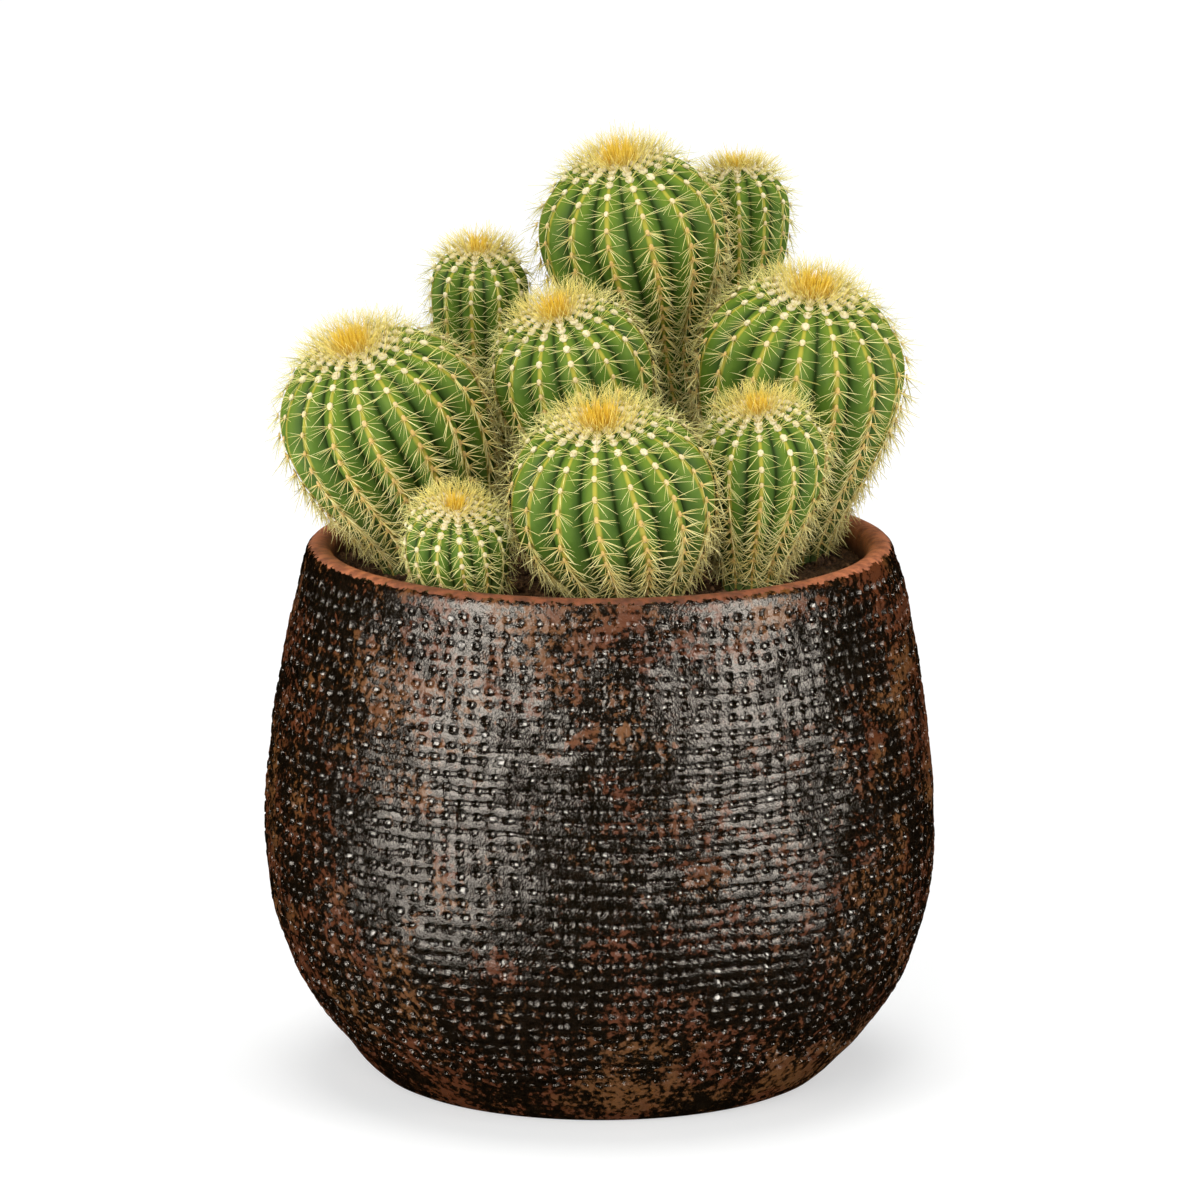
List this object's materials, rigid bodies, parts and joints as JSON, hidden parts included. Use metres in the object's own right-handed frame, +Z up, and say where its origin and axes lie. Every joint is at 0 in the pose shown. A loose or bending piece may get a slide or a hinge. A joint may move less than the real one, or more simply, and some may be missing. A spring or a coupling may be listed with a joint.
{
  "type": "potted ball cactus",
  "caption": "Clump of ribbed, spiny ball cactus heads with golden crowns, standing in soil in a round stamped and partly glazed clay pot.",
  "frame": {"origin": "middle of the pot's flat base, on the ground", "axes": "+Z up; the side that the picture shows faces -Y, with +X to its right"},
  "size_m": [0.3296, 0.3226, 0.456],
  "materials": {
    "pot": "satin",
    "soil": "matte",
    "skin": "satin",
    "spines": "matte"
  },
  "bodies": {
    "root": {"pot": "pot", "soil": "soil", "head_left": "skin", "head_back_left": "skin", "head_middle": "skin", "head_top": "skin", "head_back_right": "skin", "head_right": "skin", "head_front": "skin", "head_front_right": "skin", "head_front_left": "skin", "crown_left": "spines", "crown_back_left": "spines", "crown_middle": "spines", "crown_top": "spines", "crown_back_right": "spines", "crown_right": "spines", "crown_front": "spines", "crown_front_right": "spines", "crown_front_left": "spines"}
  },
  "joints": []
}
